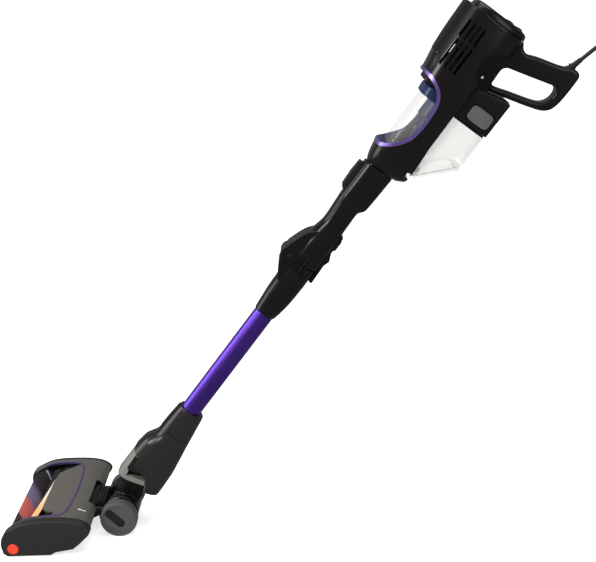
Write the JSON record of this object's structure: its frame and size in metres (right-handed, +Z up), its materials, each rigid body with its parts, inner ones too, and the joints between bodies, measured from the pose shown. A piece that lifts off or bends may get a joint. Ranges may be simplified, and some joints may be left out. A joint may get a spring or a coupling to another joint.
{
  "type": "corded stick vacuum cleaner",
  "caption": "Upright stick vacuum with a D handle, clear dust cup, folding wand and a powered floor head, trailing a mains cord.",
  "frame": {"origin": "on the floor under the middle of the vacuum's length and width, measured without the trailing cord", "axes": "+Z up, +Y towards the handle's rear, +X the left side as the user stands behind it"},
  "size_m": [0.2614, 1.302, 0.9602],
  "materials": {
    "black_gloss": "glossy",
    "black_matt": "matt",
    "black_satin": "satin",
    "board": "solder mask",
    "button_grey": "matt",
    "cable": "smooth sheath",
    "clear_plastic": "clear",
    "comb": "satin",
    "felt": "pleated felt",
    "foam": "open foam",
    "head_grey": "matt",
    "light_grey": "satin",
    "mesh_steel": "bare",
    "navy": "glossy",
    "orange": "satin",
    "plush": "soft nap",
    "purple_metal": "anodised",
    "purple_plastic": "metallic paint",
    "rubber": "matt",
    "steel": "bare",
    "wheel_grey": "matt"
  },
  "bodies": {
    "hand_vac": {"body_left": "black_gloss", "body_right": "black_gloss", "window_trim": "purple_plastic", "top_cap": "black_gloss", "motor_mount": "black_matt", "motor_stator": "steel", "circuit_board": "board", "exhaust_filter": "felt", "strain_relief": "cable", "power_cord": "cable", "cord_coil": "cable", "mains_plug": "cable"},
    "power_button": {"power_button": "black_matt"},
    "mode_button": {"mode_button": "black_matt"},
    "filter_cover": {"filter_cover": "black_satin"},
    "impeller": {"impeller": "black_matt"},
    "dust_cup": {"dust_cup": "clear_plastic", "cup_housing": "black_gloss", "cup_separator": "navy", "mesh_shroud": "mesh_steel", "foam_filter": "foam"},
    "lid": {"cup_lid": "clear_plastic", "lid_seal": "rubber"},
    "latch_left": {"latch_button_left": "button_grey"},
    "latch_right": {"latch_button_right": "button_grey"},
    "upper_wand": {"upper_wand_shell": "black_gloss", "hinge_pin": "steel", "flex_hose": "rubber"},
    "wand_release": {"wand_release_button": "black_matt"},
    "flex_release": {"flex_release_button": "black_matt"},
    "lower_wand": {"lower_wand_shell": "black_gloss", "wand_tube": "purple_metal"},
    "neck": {"neck_shell": "black_satin", "neck_spine": "black_satin", "swivel_fork": "light_grey"},
    "nozzle_release": {"nozzle_release_button": "black_matt"},
    "elbow": {"pivot_elbow": "black_gloss"},
    "head": {"head_base": "black_matt", "head_duct": "rubber", "side_plate_left": "black_matt", "side_plate_right": "black_matt", "head_cover": "head_grey", "cover_trim": "purple_plastic", "inner_cover": "black_matt", "roller_comb": "comb", "brush_motor": "steel", "drive_belt": "rubber", "front_belt": "rubber", "rear_axle": "steel", "sole_strip": "rubber"},
    "roller_button": {"roller_button": "orange"},
    "wheel_left": {"rear_wheel_left": "wheel_grey"},
    "wheel_right": {"rear_wheel_right": "wheel_grey"},
    "sole_wheel_left": {"sole_wheel_left": "rubber"},
    "sole_wheel_right": {"sole_wheel_right": "rubber"},
    "brush": {"brush_roll": "black_matt"},
    "soft_roller": {"soft_roller_core": "black_matt", "soft_roller_sleeve": "plush"},
    "motor_pulley": {"motor_pulley": "black_matt"}
  },
  "joints": [
    {"name": "power_press", "type": "slide", "parent": "hand_vac", "child": "power_button", "axis": [0, -0.618, -0.7862], "range_m": [0, 0.0025], "stiffness_N_per_m": 350, "springref_m": -0.0015},
    {"name": "mode_press", "type": "slide", "parent": "hand_vac", "child": "mode_button", "axis": [0, -0.618, -0.7862], "range_m": [0, 0.0025], "stiffness_N_per_m": 350, "springref_m": -0.0015},
    {"name": "filter_cover_hinge", "type": "hinge", "parent": "hand_vac", "child": "filter_cover", "pos_m": [0, 0.27883, 0.88125], "axis": [1, 0, 0], "range_deg": [0, 80]},
    {"name": "impeller_spin", "type": "hinge", "parent": "hand_vac", "child": "impeller", "pos_m": [0, 0.31941, 0.86716], "axis": [0, 0.618, 0.7862], "continuous": true},
    {"name": "cup_slide", "type": "slide", "parent": "hand_vac", "child": "dust_cup", "axis": [0, 0.7862, -0.618], "range_m": [0, 0.12]},
    {"name": "lid_hinge", "type": "hinge", "parent": "dust_cup", "child": "lid", "pos_m": [0, 0.32089, 0.67815], "axis": [1, 0, 0], "range_deg": [0, 100]},
    {"name": "latch_left_press", "type": "slide", "parent": "dust_cup", "child": "latch_left", "axis": [-1, 0, 0], "range_m": [0, 0.003], "stiffness_N_per_m": 350, "springref_m": -0.0018},
    {"name": "latch_right_press", "type": "slide", "parent": "dust_cup", "child": "latch_right", "axis": [1, 0, 0], "range_m": [0, 0.003], "stiffness_N_per_m": 350, "springref_m": -0.0018},
    {"name": "wand_detach", "type": "slide", "parent": "hand_vac", "child": "upper_wand", "axis": [0, -0.618, -0.7862], "range_m": [0, 0.04]},
    {"name": "wand_release_press", "type": "slide", "parent": "upper_wand", "child": "wand_release", "axis": [0, 0.7862, -0.618], "range_m": [0, 0.002], "stiffness_N_per_m": 350, "springref_m": -0.0012},
    {"name": "flex_release_press", "type": "slide", "parent": "upper_wand", "child": "flex_release", "axis": [0, -0.7862, 0.618], "range_m": [0, 0.0018], "stiffness_N_per_m": 350, "springref_m": -0.00108},
    {"name": "flex_hinge", "type": "hinge", "parent": "upper_wand", "child": "lower_wand", "pos_m": [0, 0.02165, 0.52883], "axis": [1, 0, 0], "range_deg": [-90, 0], "deforming": ["flex_hose"]},
    {"name": "head_detach", "type": "slide", "parent": "lower_wand", "child": "neck", "axis": [0, -0.618, -0.7862], "range_m": [0, 0.04]},
    {"name": "nozzle_release_press", "type": "slide", "parent": "neck", "child": "nozzle_release", "axis": [0, 0.7862, -0.618], "range_m": [0, 0.0018], "stiffness_N_per_m": 350, "springref_m": -0.00108},
    {"name": "steer_swivel", "type": "hinge", "parent": "neck", "child": "elbow", "pos_m": [0, -0.321, 0.035], "axis": [0, 0.3693, 0.9293], "range_deg": [-60, 60]},
    {"name": "pitch_hinge", "type": "hinge", "parent": "elbow", "child": "head", "pos_m": [0, -0.321, 0.035], "axis": [1, 0, 0], "range_deg": [-38, 40]},
    {"name": "wheel_left_spin", "type": "hinge", "parent": "head", "child": "wheel_left", "pos_m": [0.0575, -0.321, 0.035], "axis": [1, 0, 0], "continuous": true},
    {"name": "wheel_right_spin", "type": "hinge", "parent": "head", "child": "wheel_right", "pos_m": [-0.0575, -0.321, 0.035], "axis": [1, 0, 0], "continuous": true},
    {"name": "sole_wheel_left_spin", "type": "hinge", "parent": "head", "child": "sole_wheel_left", "pos_m": [0.072, -0.405, 0.007], "axis": [1, 0, 0], "continuous": true},
    {"name": "sole_wheel_right_spin", "type": "hinge", "parent": "head", "child": "sole_wheel_right", "pos_m": [-0.072, -0.405, 0.007], "axis": [1, 0, 0], "continuous": true},
    {"name": "brush_spin", "type": "hinge", "parent": "head", "child": "brush", "pos_m": [0, -0.4385, 0.0255], "axis": [1, 0, 0], "continuous": true},
    {"name": "soft_roller_spin", "type": "hinge", "parent": "head", "child": "soft_roller", "pos_m": [0, -0.496, 0.0275], "axis": [1, 0, 0], "continuous": true},
    {"name": "motor_pulley_spin", "type": "hinge", "parent": "head", "child": "motor_pulley", "pos_m": [0.11, -0.395, 0.038], "axis": [1, 0, 0], "continuous": true},
    {"name": "roller_button_press", "type": "slide", "parent": "head", "child": "roller_button", "axis": [-1, 0, 0], "range_m": [0, 0.0018], "stiffness_N_per_m": 350, "springref_m": -0.00108}
  ],
  "couplings": [
    {"joint": "soft_roller_spin", "follows": "brush_spin", "ratio": 1.0909},
    {"joint": "motor_pulley_spin", "follows": "brush_spin", "ratio": 1.7143}
  ]
}
